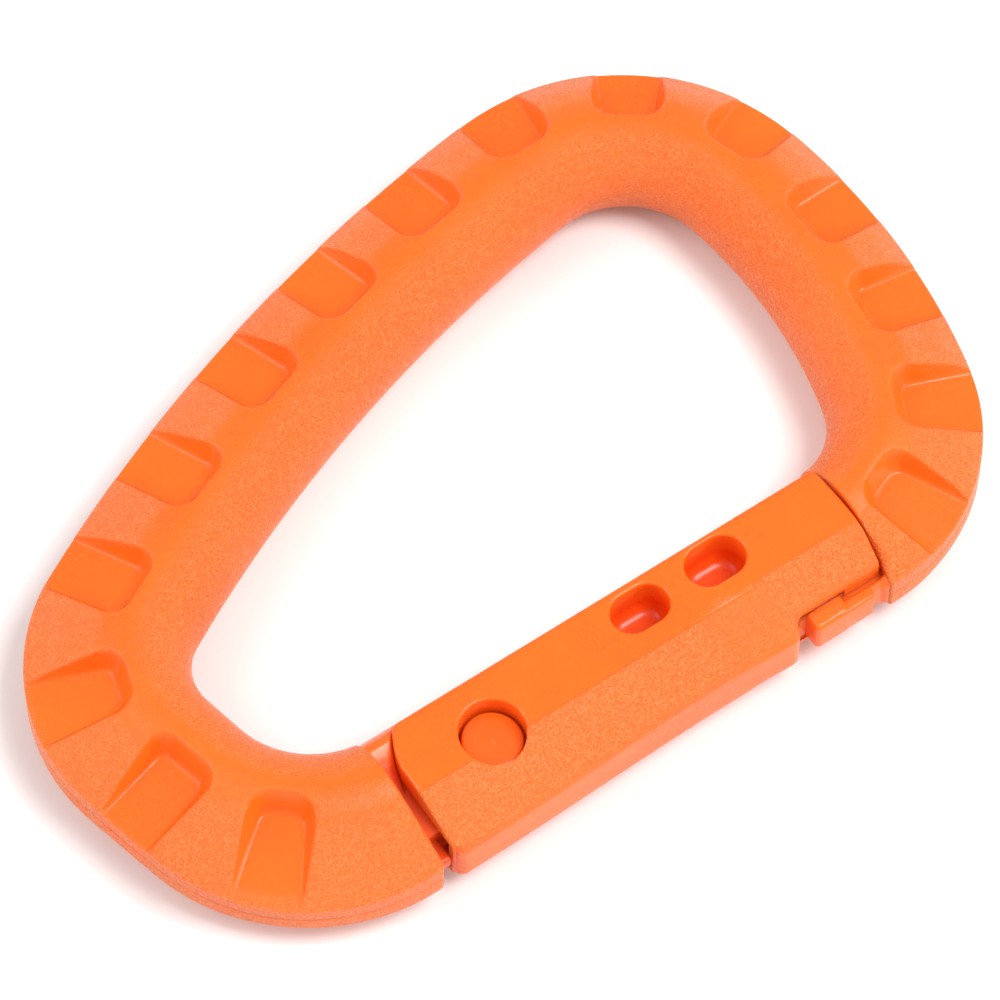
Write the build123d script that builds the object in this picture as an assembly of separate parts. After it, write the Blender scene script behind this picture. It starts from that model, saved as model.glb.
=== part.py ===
from build123d import *
from math import asin, cos, degrees, dist, radians, sin, tan
import os

# Snap carabiner moulded in plastic: an asymmetric D ring with a sprung gate.
# Frame: X runs along the gate from hinge to nose, Y from gate to spine, Z is thickness.
# The origin is the middle of the bounding box on the underside. All sizes in mm.
# Everything is drawn about the mid-plane and lifted by HALF_THICK when it is exported.

HALF_THICK = 4.9          # half of the ring's thickness at its crest
BAND_HALF = 1.9           # half height of the narrow outer band
BAND_ROUND = 0.6          # rounding of the band's two edges
BAND_SLOPE = 38.0         # slope of the bevel just inside the band, degrees
CREST_TURN = 17.0         # the inner round carries on past its top by this angle
LAND_RADIUS = 50.0        # gentle crown of the outer land
SECTION_DEPTH = 16.2      # sections reach past the far outline and are trimmed by it

PIVOT = (-12.17, -21.53)    # centre of the hinge pin
HINGE_FACE_X = -21.57     # end face of the ring beside the hinge
NOSE_FACE_R = 35.95       # concave end face of the ring at the nose, about the pivot

# Outlines as chains of tangent arcs run clockwise: (radius, angle turned).
INNER_START = (-19.47, -15.03)
INNER_HEADING = 184.0
INNER_ARCS = [
    (8.11, 81.63),
    (187.45, 1.21),
    (5.04, 72.25),
    (140.74, 20.59),
    (7.47, 88.28),
    (45.86, 26.53),
    (6.32, 73.68),
]
OUTER_START = (-21.42, -28.45)
OUTER_HEADING = 183.93
OUTER_ARCS = [
    (18.16, 79.16),
    (157.69, 3.08),
    (17.06, 73.74),
    (151.87, 20.72),
    (20.62, 86.38),
    (59.35, 26.06),
    (17.55, 77.02),
]

# Grip pockets: distance of each centre line along the outer outline.
POCKET_STATIONS = [15.4, 28.9, 42.1, 56.9, 68.5, 79.9, 90.8, 101.6]
POCKET_STATIONS += [112.9, 125.9, 138.6, 150.0, 160.5, 171.8, 184.4]
POCKET_WIDTH = 4.9        # floor width half way along
POCKET_SETBACK = 6.3      # floor starts this far from the ring's inner edge
POCKET_FLOOR_IN = 2.55    # floor height above the mid-plane at its inner wall
POCKET_FLOOR_OUT = 1.65   # floor height at the outer edge
POCKET_DRAFT = 24.0       # lean of the pocket's walls, degrees
POCKET_CORNER = 0.9       # rounding of the two inner corners, in plan
POCKET_TOOL_HEIGHT = 3.6  # the cutting solid stands clear of the ring
POCKET_OVERRUN = 2.0      # and reaches this far past the outer edge
WIDTH_SAMPLES = 400       # points tried along the inner outline

# Gate, measured from the pivot.
GATE_HALF = 4.5           # half thickness of the two cheeks
GATE_INNER_Y = 5.1        # straight inner edge
GATE_TAIL_R = 8.2         # rounded tail beside the hinge
GATE_NOSE_R = 35.65       # convex end at the nose
FACET_SLOPE = 22.0
CHEEK_LOW_Y = -4.75       # lower edge of the cheeks beside the nose catch
WALL_END_X = 26.6         # the outer wall ends here
GATE_EDGE = 0.6           # rounding along the inner edge
WALL_CORNER = 0.9         # rounding where the outer wall ends
FACET_LINE = ((-10.0, -1.1), (25.6, -2.3))    # upper edge of the facet on the wall
NOSE_FACET_LINE = ((25.6, -0.65), (38.0, -0.65))
SLOT_HALF = 2.1           # hinge slot and nose channel, half height
SLOT_END_X = 6.6          # end of the hinge slot, which stops the opening swing
RECESS_FLOOR = 0.9        # central web left between the recesses of both cheeks
RECESS_1 = (16.2, 2.4, 5.2, 3.6)
RECESS_2 = (23.8, 2.55, 5.4, 3.8)
PIN_HOLE_R = 2.8
PIN_R = 2.72
PIN_HALF = 3.3            # the pin stops short of the cheek faces
PIN_CHAMFER = 0.35
RAMP_SLOPE = 22.0         # each end of the pin is cut on a slope that lets it snap in
RAMP_BOX = (9.0, 8.0, 1.2)

# Hinge tongue and nose tongue on the ring.
TONGUE_HALF = 1.8
HEAD_R_IN = 28.0
HEAD_R_OUT = 31.6
NECK_HALF = 0.95
RIB_HALF = 1.25

# Leaf spring.
LEAF_THICK = 0.35
LEAF_WIDTH = 3.0
LEAF_Y = -4.25


def arc_steps(start, heading, arcs):
    """Start point, centre, heading, radius and angle of each arc in a clockwise chain."""
    steps = []
    x, y = start
    angle = heading
    for radius, turn in arcs:
        cx = x + radius * sin(radians(angle))
        cy = y - radius * cos(radians(angle))
        steps.append(((x, y), (cx, cy), angle, radius, turn))
        angle = angle - turn
        x = cx - radius * sin(radians(angle))
        y = cy + radius * cos(radians(angle))
    return steps


def station(steps, distance):
    """Point, heading and radius at a distance along a chain."""
    for start, centre, heading, radius, turn in steps:
        length = radius * radians(turn)
        if distance <= length:
            angle = heading - degrees(distance / radius)
            x = centre[0] - radius * sin(radians(angle))
            y = centre[1] + radius * cos(radians(angle))
            return (x, y), angle, radius
        distance = distance - length
    return (x, y), angle, radius


def swept_band(steps, section):
    """Turn a section about the centre of every arc; section x points outwards."""
    pieces = []
    for start, centre, heading, radius, turn in steps:
        along = (cos(radians(heading)), sin(radians(heading)), 0)
        outward = (-sin(radians(heading)), cos(radians(heading)), 0)
        plane = Plane(origin=(start[0], start[1], 0), x_dir=outward, z_dir=along)
        axis = Axis((centre[0], centre[1], 0), (0, 0, -1))
        pieces.append(revolve(plane * section, axis, turn))
    return Part() + pieces


def inner_section():
    """Half-round inner side, rounded crest and a long outer land."""
    r = HALF_THICK
    a = radians(CREST_TURN)
    crest = (r + r * sin(a), r * cos(a))
    run = SECTION_DEPTH - crest[0]
    b = asin(sin(a) + run / LAND_RADIUS)
    end = (SECTION_DEPTH, crest[1] - LAND_RADIUS * (cos(a) - cos(b)))
    m = (a + b) / 2
    mid = (crest[0] + LAND_RADIUS * (sin(m) - sin(a)), crest[1] - LAND_RADIUS * (cos(a) - cos(m)))
    outline = ThreePointArc(crest, (0, 0), (crest[0], -crest[1]))
    outline += ThreePointArc(crest, mid, end)
    outline += Line(end, (end[0], -end[1]))
    outline += ThreePointArc((end[0], -end[1]), (mid[0], -mid[1]), (crest[0], -crest[1]))
    return make_face(outline)


def outer_section():
    """Narrow band with rounded edges, then a bevel that trims the land."""
    h = BAND_HALF
    top = HALF_THICK + 1.0
    run = (top - h) / tan(radians(BAND_SLOPE))
    points = [(0, -h), (0, h), (-run, top), (-SECTION_DEPTH, top), (-SECTION_DEPTH, -top), (-run, -top)]
    face = make_face(Polyline(points, close=True))
    edges = [v for v in face.vertices() if v.X > -0.01]
    return fillet(edges, BAND_ROUND)


def chain_length(steps):
    """Length of a whole chain."""
    return sum(radius * radians(turn) for start, centre, heading, radius, turn in steps)


def ring_width(point, inner):
    """Shortest distance from a point on the outer outline to the inner one."""
    step = chain_length(inner) / WIDTH_SAMPLES
    return min(dist(point, station(inner, i * step)[0]) for i in range(WIDTH_SAMPLES + 1))


def pocket_tool(outer, inner, distance):
    """Drafted pocket that opens through the outer edge, as a cutting solid."""
    (x, y), heading, radius = station(outer, distance)
    depth = ring_width((x, y), inner) - POCKET_SETBACK
    along = Vector(cos(radians(heading)), sin(radians(heading)), 0)
    inward = Vector(sin(radians(heading)), -cos(radians(heading)), 0)
    rise = (POCKET_FLOOR_IN - POCKET_FLOOR_OUT) / depth
    normal = (-1 * along).cross(inward + Vector(0, 0, rise))
    plane = Plane(origin=(x, y, POCKET_FLOOR_OUT), x_dir=-1 * along, z_dir=normal)
    fan = POCKET_WIDTH / 2 / radius
    half_mid = POCKET_WIDTH / 2
    half_in = half_mid - fan * depth / 2
    half_out = half_mid + fan * (depth / 2 + POCKET_OVERRUN)
    low = -POCKET_OVERRUN
    points = [(-half_out, low), (half_out, low), (half_in, depth), (-half_in, depth)]
    floor = make_face(Polyline(points, close=True))
    floor = fillet([v for v in floor.vertices() if v.Y > 0], POCKET_CORNER)
    return extrude(plane * floor, amount=POCKET_TOOL_HEIGHT, taper=-POCKET_DRAFT)


def disc(radius, half):
    """Disc about the pivot."""
    return Pos(PIVOT[0], PIVOT[1]) * Cylinder(radius, 2 * half)


def block(x0, x1, y0, y1, z0, z1):
    """Box given by its limits from the pivot in X and Y."""
    centre = Pos(PIVOT[0] + (x0 + x1) / 2, PIVOT[1] + (y0 + y1) / 2, (z0 + z1) / 2)
    return centre * Box(x1 - x0, y1 - y0, z1 - z0)


def ring_body():
    """Ring between its two end faces, with the grip pockets on both sides."""
    inner = arc_steps(INNER_START, INNER_HEADING, INNER_ARCS)
    outer = arc_steps(OUTER_START, OUTER_HEADING, OUTER_ARCS)
    body = swept_band(inner, inner_section()) & swept_band(outer, outer_section())
    for distance in POCKET_STATIONS:
        tool = pocket_tool(outer, inner, distance)
        body -= tool
        body -= mirror(tool, about=Plane.XY)
    body -= block(HINGE_FACE_X - PIVOT[0], 18, -12, 10, -6, 6)
    body -= disc(NOSE_FACE_R, 6) & block(10, 40, -12, 10, -6, 6)
    return body


def hinge_tongue():
    """Flat tongue with the hinge pin standing out of both sides."""
    tongue = block(-11.5, 3.0, -4.0, 0, -TONGUE_HALF, TONGUE_HALF)
    tongue += block(-11.5, 3.6, 0, GATE_INNER_Y, -TONGUE_HALF, TONGUE_HALF)
    pin = disc(PIN_R, PIN_HALF)
    pin = chamfer(pin.edges().filter_by(GeomType.CIRCLE), PIN_CHAMFER)
    ramp = Pos(PIVOT[0] + PIN_R, PIVOT[1], PIN_HALF) * Rot(0, RAMP_SLOPE, 0) * Box(*RAMP_BOX)
    pin -= ramp
    pin -= mirror(ramp, about=Plane.XY)
    return tongue + pin


def nose_tongue():
    """T-shaped catch: a thick head on a thinner neck, both curved about the pivot."""
    head = disc(HEAD_R_OUT, TONGUE_HALF) - disc(HEAD_R_IN, TONGUE_HALF)
    head &= block(20, 40, -6.1, 2.6, -TONGUE_HALF, TONGUE_HALF)
    neck = disc(NOSE_FACE_R + 1.0, NECK_HALF) - disc(HEAD_R_OUT - 0.5, NECK_HALF)
    neck &= block(20, 40, -6.1, 2.6, -NECK_HALF, NECK_HALF)
    return head + neck


def frame_part():
    """Ring with the hinge tongue and the nose catch, one moulding."""
    return ring_body() + hinge_tongue() + nose_tongue()


def gate_outline():
    """Plan of the gate, drawn from the pivot."""
    tail_x = (GATE_TAIL_R ** 2 - GATE_INNER_Y ** 2) ** 0.5
    nose_x = (GATE_NOSE_R ** 2 - GATE_INNER_Y ** 2) ** 0.5
    low_x = (GATE_NOSE_R ** 2 - CHEEK_LOW_Y ** 2) ** 0.5
    tail_mid = (-GATE_TAIL_R * cos(radians(18)), GATE_TAIL_R * sin(radians(18)))
    outline = Line((-tail_x, GATE_INNER_Y), (nose_x, GATE_INNER_Y))
    outline += ThreePointArc((nose_x, GATE_INNER_Y), (GATE_NOSE_R, 0), (low_x, CHEEK_LOW_Y))
    outline += Line((low_x, CHEEK_LOW_Y), (WALL_END_X, CHEEK_LOW_Y))
    outline += Line((WALL_END_X, CHEEK_LOW_Y), (WALL_END_X, -5.7))
    outline += ThreePointArc((WALL_END_X, -5.7), (22.4, -6.2), (16.0, -5.95))
    outline += Line((16.0, -5.95), (-8.7, -6.95))
    outline += Line((-8.7, -6.95), (-GATE_TAIL_R, 0))
    outline += ThreePointArc((-GATE_TAIL_R, 0), tail_mid, (-tail_x, GATE_INNER_Y))
    return make_face(outline)


def facet_cutter(start, end):
    """Half space above a facet that falls outwards from a line on the cheek face."""
    line = Vector(end[0] - start[0], end[1] - start[1], 0)
    across = Vector(line.Y, -line.X, 0).normalized()
    normal = across * sin(radians(FACET_SLOPE)) + Vector(0, 0, cos(radians(FACET_SLOPE)))
    plane = Plane(origin=(start[0], start[1], GATE_HALF), x_dir=line, z_dir=normal)
    return plane * Pos(line.length / 2, 0, 2) * Box(line.length, 24, 4)


def stadium_recess(x, y, length, width):
    """Rounded slot sunk into the upper cheek down to the central web."""
    slot = Pos(x, y, RECESS_FLOOR) * SlotOverall(length, width)
    return extrude(slot, amount=6)


def sector(r_in, r_out, half, y0, y1):
    """Part of a ring about the pivot, cut off between two Y limits."""
    band = Cylinder(r_out, 2 * half) - Cylinder(r_in, 2 * half)
    return band & Pos((r_in + r_out) / 2, (y0 + y1) / 2) * Box(14, y1 - y0, 2 * half)


def local_box(x0, x1, y0, y1, half):
    """Box about the mid-plane given by its limits in X and Y."""
    return Pos((x0 + x1) / 2, (y0 + y1) / 2) * Box(x1 - x0, y1 - y0, 2 * half)


def gate_part():
    """Gate with its hinge slot, pin hole, recesses and nose channel."""
    body = extrude(gate_outline(), amount=GATE_HALF, both=True)
    upright = body.edges().filter_by(Axis.Z)
    wall_corner = upright.filter_by(lambda e: e.center().X > 25 and e.center().Y < -5.2)
    body = fillet(wall_corner, WALL_CORNER)
    for cutter in [facet_cutter(*FACET_LINE), facet_cutter(*NOSE_FACET_LINE)]:
        body -= cutter
        body -= mirror(cutter, about=Plane.XY)
    inner_edges = body.edges().filter_by(Axis.X)
    inner_edges = inner_edges.filter_by(lambda e: abs(e.center().Y - GATE_INNER_Y) < 0.01)
    body = fillet(inner_edges, GATE_EDGE)
    for recess in [stadium_recess(*RECESS_1), stadium_recess(*RECESS_2)]:
        body -= recess
        body -= mirror(recess, about=Plane.XY)
    body -= Cylinder(PIN_HOLE_R, 12)
    body -= local_box(-12, SLOT_END_X, -5.5, 8, SLOT_HALF)
    body -= local_box(SLOT_END_X - 1, 11, -5.4, -3.8, 1.8)
    body -= local_box(10, 15.6, LEAF_Y - LEAF_THICK / 2 - 0.05, LEAF_Y + LEAF_THICK / 2 + 0.05, 1.8)
    body -= sector(HEAD_R_IN - 0.35, HEAD_R_OUT + 0.35, SLOT_HALF, -9, 2.9)
    body -= sector(HEAD_R_OUT, 37, RIB_HALF, -9, 2.9)
    return Pos(PIVOT[0], PIVOT[1]) * body


def leaf_spring():
    """Steel strip held in the gate, its free end bearing on the hinge tongue."""
    half = LEAF_THICK / 2
    strip = local_box(-2.0, 15.3, LEAF_Y - half, LEAF_Y + half, LEAF_WIDTH / 2)
    return Pos(PIVOT[0], PIVOT[1]) * strip


def main():
    os.makedirs("parts", exist_ok=True)
    nodes = {"frame": frame_part(), "gate": gate_part(), "gate_spring": leaf_spring()}
    for name, part in nodes.items():
        export_step(Pos(0, 0, HALF_THICK) * part, "parts/" + name + ".step")


main()
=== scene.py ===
"""Snap carabiner moulded in orange plastic: a D-shaped ring with grip pockets and a sprung gate.

Lengths inside the classes are millimetres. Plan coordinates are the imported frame's X and Y, the
gate's own are taken from its hinge pin, and heights are measured from the ring's mid-plane.
"""
import logging
import math
from dataclasses import dataclass
from enum import Enum
from typing import Any, Callable

import bpy
import numpy as np
from mathutils import Matrix, Vector

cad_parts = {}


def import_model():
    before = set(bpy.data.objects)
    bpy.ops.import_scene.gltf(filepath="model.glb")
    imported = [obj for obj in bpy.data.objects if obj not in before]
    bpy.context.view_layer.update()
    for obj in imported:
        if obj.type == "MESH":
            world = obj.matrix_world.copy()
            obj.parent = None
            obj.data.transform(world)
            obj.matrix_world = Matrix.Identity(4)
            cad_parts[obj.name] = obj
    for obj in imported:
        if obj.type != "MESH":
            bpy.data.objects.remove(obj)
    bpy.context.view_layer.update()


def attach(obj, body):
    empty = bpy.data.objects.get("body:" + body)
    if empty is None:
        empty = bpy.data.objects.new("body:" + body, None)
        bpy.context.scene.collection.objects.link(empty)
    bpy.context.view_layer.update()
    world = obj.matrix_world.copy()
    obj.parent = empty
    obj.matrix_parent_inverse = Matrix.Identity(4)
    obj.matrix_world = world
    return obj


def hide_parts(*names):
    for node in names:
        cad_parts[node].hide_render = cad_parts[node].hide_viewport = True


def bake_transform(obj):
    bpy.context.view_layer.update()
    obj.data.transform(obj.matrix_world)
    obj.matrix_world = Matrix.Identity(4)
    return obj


Array = np.ndarray
MM = 0.001
MID_PLANE = 4.9
PIVOT = (-12.17, -21.53)
MIRROR = np.array([1, 1, -1])
CLOSE = np.array([0.0, 0.06, 0.2, 0.42, 0.7, 1.0])
ALONG_X = np.array([1.0, 0, 0])
GRAIN_AND_SHADE = "grain"
SHARP_ANGLE = math.radians(48)
log = logging.getLogger("carabiner")


# ---------------------------------------------------------------- surface maths


def smooth_min(a: Array, b: Array, k: float) -> Array:
    """Lesser of a and b, with a fillet where they differ by less than k: min - (k - |a-b|)^2 / 4k."""
    h = np.maximum(k - np.abs(a - b), 0.0)
    return np.minimum(a, b) - h * h / (4 * k)


def smooth_max(a: Array, b: Array, k: float) -> Array:
    """Greater of a and b with a fillet of reach k."""
    return -smooth_min(-a, -b, k)


def fade(x: Array, low: float, high: float) -> Array:
    """Smoothstep 3t^2 - 2t^3 of t = (x - low) / (high - low), which may run either way."""
    t = np.clip((np.asarray(x, float) - low) / (high - low), 0.0, 1.0)
    return t * t * (3 - 2 * t)


def unit(v: Array) -> Array:
    """Vectors on the last axis, scaled to length one."""
    return v / np.maximum(np.linalg.norm(v, axis=-1, keepdims=True), 1e-12)


def solve(function: Callable[[Array], Array], low: Array, high: Array) -> Array:
    """Roots of a rising function by bisection on whole arrays.

    Args:
        function: takes and returns an array, and rises through zero between the limits.
        low: lower limits.
        high: upper limits.

    Returns:
        The arguments at which the function is zero.
    """
    for _ in range(45):
        middle = (low + high) / 2
        above = function(middle) > 0
        high = np.where(above, middle, high)
        low = np.where(above, low, middle)
    return (low + high) / 2


@dataclass(frozen=True)
class ArcChain:
    """An outline of tangent arcs run clockwise, each given as (radius, angle turned).

    A point at distance s into an arc is C + R (-sin h, cos h), where the heading h falls by s / R.
    """

    start: tuple[float, float]
    heading: float
    arcs: tuple[tuple[float, float], ...]

    def table(self) -> tuple[Array, Array, Array, Array, Array]:
        """Centres, radii, first headings, turns (radians) and start distances of the arcs."""
        radii = np.array([r for r, _ in self.arcs])
        turns = np.radians([t for _, t in self.arcs])
        heads = math.radians(self.heading) - np.concatenate([[0.0], np.cumsum(turns)[:-1]])
        starts = np.concatenate([[0.0], np.cumsum(radii * turns)[:-1]])
        outward = np.stack([-np.sin(heads), np.cos(heads)], -1)
        leave = np.stack([-np.sin(heads - turns), np.cos(heads - turns)], -1)
        steps = radii[:, None] * (leave - outward)
        points = np.array(self.start) + np.concatenate([[[0.0, 0.0]], np.cumsum(steps, 0)[:-1]])
        return points - radii[:, None] * outward, radii, heads, turns, starts

    def length(self) -> float:
        """Length of the whole chain."""
        return float(sum(r * math.radians(t) for r, t in self.arcs))

    def point(self, s: Array) -> tuple[Array, Array]:
        """Points and outward normals.

        Args:
            s: distances along the chain; the end arcs carry on past its ends.

        Returns:
            Points and unit normals, with one axis more than s.
        """
        centres, radii, heads, _, starts = self.table()
        i = np.clip(np.searchsorted(starts, s, "right") - 1, 0, len(radii) - 1)
        h = heads[i] - (s - starts[i]) / radii[i]
        normal = np.stack([-np.sin(h), np.cos(h)], -1)
        return centres[i] + radii[i][..., None] * normal, normal

    def beyond(self, xy: Array) -> Array:
        """Signed distance outside the outline.

        The outline is convex, so it is the greatest over the arcs of |p| cos(e) - R, where p runs
        from the arc's centre and e is the angle by which p misses the arc's own range of normals.
        The first and last arcs face each other's way a little, so each counts on its own side of X.

        Args:
            xy: points, with X and Y on the last axis.

        Returns:
            Distances, negative inside.
        """
        centres, radii, heads, turns, _ = self.table()
        slack = math.radians(10)
        best = np.full(xy.shape[:-1], -1e9)
        for i, (centre, radius) in enumerate(zip(centres, radii)):
            first = heads[i] + math.pi / 2 + (slack if i == 0 else 0.0)
            last = heads[i] + math.pi / 2 - turns[i] - (slack if i == len(radii) - 1 else 0.0)
            p = xy - centre
            miss = np.arctan2(p[..., 1], p[..., 0]) - (first + last) / 2
            miss = np.abs((miss + math.pi) % (2 * math.pi) - math.pi) - (first - last) / 2
            reach = np.linalg.norm(p, axis=-1) * np.cos(np.maximum(miss, 0.0)) - radius
            hidden = (i == 0) & (xy[..., 0] > 0) | (i == len(radii) - 1) & (xy[..., 0] < 0)
            best = np.where(hidden, best, np.maximum(best, reach))
        return best


# ---------------------------------------------------------------- mesh building


def loop_faces(rows: int, cols: int, first: int = 0) -> Array:
    """Quads of a grid whose columns close into a loop.

    Args:
        rows: rows of vertices.
        cols: vertices in each row.
        first: index of the first vertex.

    Returns:
        An (n, 4) array of vertex indices.
    """
    i, j = np.meshgrid(np.arange(rows - 1), np.arange(cols), indexing="ij")
    k = (j + 1) % cols
    corners = [i * cols + j, i * cols + k, (i + 1) * cols + k, (i + 1) * cols + j]
    return first + np.stack(corners, -1).reshape(-1, 4)


def ladder_faces(cols: int, first: int) -> list[list[int]]:
    """Cap of a loop that mirrors itself about the mid-plane: rungs join column j to cols - j."""
    half = cols // 2
    rungs = [[j, j + 1, cols - j - 1, cols - j] for j in range(1, half - 1)]
    ends = [[0, 1, cols - 1], [half - 1, half, half + 1]]
    return [[first + v for v in face] for face in rungs + ends]


def cap_faces(rows: int, cols: int) -> list[list[int]]:
    """Ladders that close both ends of a looped grid whose section mirrors itself."""
    return ladder_faces(cols, 0) + [face[::-1] for face in ladder_faces(cols, (rows - 1) * cols)]


def fan_faces(loop: list[int], hub: int) -> list[list[int]]:
    """Triangles from a hub to each edge of a closed loop."""
    return [[a, b, hub] for a, b in zip(loop, loop[1:] + loop[:1])]


def signed_volume(points: Array, faces: list[list[int]]) -> float:
    """Volume from sums of a . (b x c) over the faces' triangles, positive if they face outwards."""
    triangles = [[f[0], f[k], f[k + 1]] for f in faces for k in range(1, len(f) - 1)]
    a, b, c = (points[np.array(triangles)[:, k]] for k in range(3))
    return float(np.einsum("ij,ij->", a, np.cross(b, c)) / 6)


def at_pivot(points: Array) -> Array:
    """Points given from the hinge pin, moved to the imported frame's plan."""
    return points + [PIVOT[0], PIVOT[1], 0]


def both_faces(top: Array) -> Array:
    """Columns of an upper face, followed by their mirror images on the way back."""
    return np.concatenate([top, (top * MIRROR)[:, -2:0:-1]], 1)


def link(name: str, data: Any) -> Any:
    """Make an object of the data and link it to the scene at the origin."""
    made = bpy.data.objects.new(name, data)
    bpy.context.scene.collection.objects.link(made)
    return made


def make_piece(name: str, points: Array, faces: list[list[int]], grain: Array | None = None) -> Any:
    """A smooth-shaded mesh object with its faces outwards, creases kept sharp.

    Args:
        name: name of the piece.
        points: (n, 3) vertices in millimetres, heights from the mid-plane.
        faces: vertex indices of each face.
        grain: mark of each vertex, from 0 for smooth skin to 1 for grained skin; below 0 it marks
        hollows, slots and hidden faces, which take a deeper red as painted shade.

    Returns:
        The new object, linked to the scene at the origin.
    """
    if signed_volume(points, faces) < 0:
        faces = [face[::-1] for face in faces]
    mesh = bpy.data.meshes.new(name)
    mesh.from_pydata((points + [0, 0, MID_PLANE]) * MM, [], faces)
    mesh.polygons.foreach_set("use_smooth", np.ones(len(faces), bool))
    if grain is not None:
        attribute = mesh.attributes.new(GRAIN_AND_SHADE, "FLOAT", "POINT")
        attribute.data.foreach_set("value", np.ascontiguousarray(grain, np.float32))
    mesh.update()
    mesh.set_sharp_from_angle(angle=SHARP_ANGLE)
    return link(name, mesh)


def grid_normals(points: Array) -> Array:
    """Unit normals of a grid with looped columns: the cross product of its two differences."""
    along = np.gradient(points, axis=0)
    around = np.roll(points, -1, 1) - np.roll(points, 1, 1)
    return unit(np.cross(along, around))


def ease_end(points: Array, distance: Array, facing: Array, radius: float | Array) -> Array:
    """Round a swept end by drawing its last rows in: r - sqrt(r^2 - (r - t)^2) at distance t.

    Args:
        points: grid of points, rows running to the end.
        distance: distance of each row from the end face.
        facing: unit normals of the end face, broadcast over the grid.
        radius: radius of the rounding, one number or one for each column.

    Returns:
        The grid with the rows near the end drawn in, parallel to the end face.
    """
    short = np.clip(radius - distance[:, None], 0.0, radius)
    inset = radius - np.sqrt(np.maximum(radius ** 2 - short ** 2, 0.0))
    normal = grid_normals(points)
    centre = points.mean(1, keepdims=True)
    side = np.sign(np.sum(normal * (points - centre), -1).sum())
    normal = side * unit(normal - np.sum(normal * facing, -1, keepdims=True) * facing)
    return points - inset[..., None] * normal


def offset_outline(outline: Array, inset: float) -> Array:
    """Closed anticlockwise outline moved inwards along its mitred corners."""
    edge = unit(np.roll(outline, -1, 0) - outline)
    before = np.roll(edge, 1, 0)
    inward = np.stack([-edge[:, 1], edge[:, 0]], -1) + np.stack([-before[:, 1], before[:, 0]], -1)
    share = 2 / np.maximum(np.sum(inward * inward, -1, keepdims=True), 0.5)
    return outline + inset * share * inward


def slab(outline: Array, low: float, high: float, edge: float) -> tuple[Array, list[list[int]]]:
    """Flat solid with rounded rims: the outline drawn in by e(1 - sin t) at height h - e(1 - cos t).

    Args:
        outline: (n, 2) anticlockwise plan, seen as a star from its middle.
        low: height of the underside.
        high: height of the top.
        edge: radius of the rims.

    Returns:
        Points and faces of a closed solid.
    """
    turn = np.linspace(0, math.pi / 2, 6)
    inset = edge * (1 - np.sin(turn))
    drop = edge * (1 - np.cos(turn))
    levels = list(zip(inset, low + drop)) + list(zip(inset[::-1], high - drop[::-1]))
    rings = [np.c_[offset_outline(outline, e), np.full(len(outline), z)] for e, z in levels]
    count = len(outline)
    hub = outline.mean(0)
    points = np.concatenate(rings + [[[*hub, low]], [[*hub, high]]])
    faces = loop_faces(len(levels), count).tolist()
    last = (len(levels) - 1) * count
    bottom = list(range(count))[::-1]
    faces += fan_faces(bottom, len(points) - 2)
    faces += fan_faces([last + k for k in range(count)], len(points) - 1)
    return points, faces


def bar(
    place: Array, low: Array, high: Array, half: Array, edge: float, ease: float
) -> tuple[Array, list[list[int]]]:
    """Solid bar along X whose section is a rectangle with rounded corners, its size free to change.

    A corner runs through (side - e + e cos t, h - e + e sin t); the ends are eased and closed.

    Args:
        place: X of the rows.
        low: lesser Y of each row.
        high: greater Y of each row.
        half: half height of each row.
        edge: radius of the section's corners.
        ease: radius of the rounding at both ends.

    Returns:
        Points and faces of a closed solid.
    """
    turn = np.linspace(0, math.pi / 2, 6)
    up = half[:, None]
    side = high[:, None] - edge * (1 - np.cos(turn))
    far = low[:, None] + edge * (1 - np.cos(turn[::-1]))
    y = np.concatenate([high[:, None], side, far, low[:, None]], 1)
    rim = up - edge * (1 - np.sin(turn))
    z = np.concatenate([0 * up, rim, rim[:, ::-1], 0 * up], 1)
    top = np.stack([np.repeat(place[:, None], y.shape[1], 1), y, z], -1)
    grid = both_faces(top)
    grid = ease_end(grid, place - place[0], ALONG_X, ease)
    grid = ease_end(grid, place[-1] - place, ALONG_X, ease)
    rows, cols = grid.shape[:2]
    return grid.reshape(-1, 3), loop_faces(rows, cols).tolist() + cap_faces(rows, cols)


def bar_places(low: float, high: float, ease: float, count: int) -> Array:
    """Row places of a bar, drawn together towards its eased ends."""
    close = ease * CLOSE[:-1]
    straight = np.linspace(low + ease, high - ease, count)
    return np.concatenate([low + close, straight, high - close[::-1]])


def box_outline(x0: float, x1: float, y0: float, y1: float) -> Array:
    """Corners of an upright rectangle, anticlockwise."""
    return np.array([(x0, y0), (x1, y0), (x1, y1), (x0, y1)], float)


def sector_outline(r_in: float, r_out: float, y0: float, y1: float, count: int = 24) -> Array:
    """Part of a ring about the origin between two Y limits: x = sqrt(r^2 - y^2) on both arcs."""
    up = np.linspace(y0, y1, count)
    outer = np.c_[np.sqrt(r_out ** 2 - up ** 2), up]
    inner = np.c_[np.sqrt(r_in ** 2 - up[::-1] ** 2), up[::-1]]
    return np.concatenate([outer, inner])


# ---------------------------------------------------------------- finishes


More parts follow.
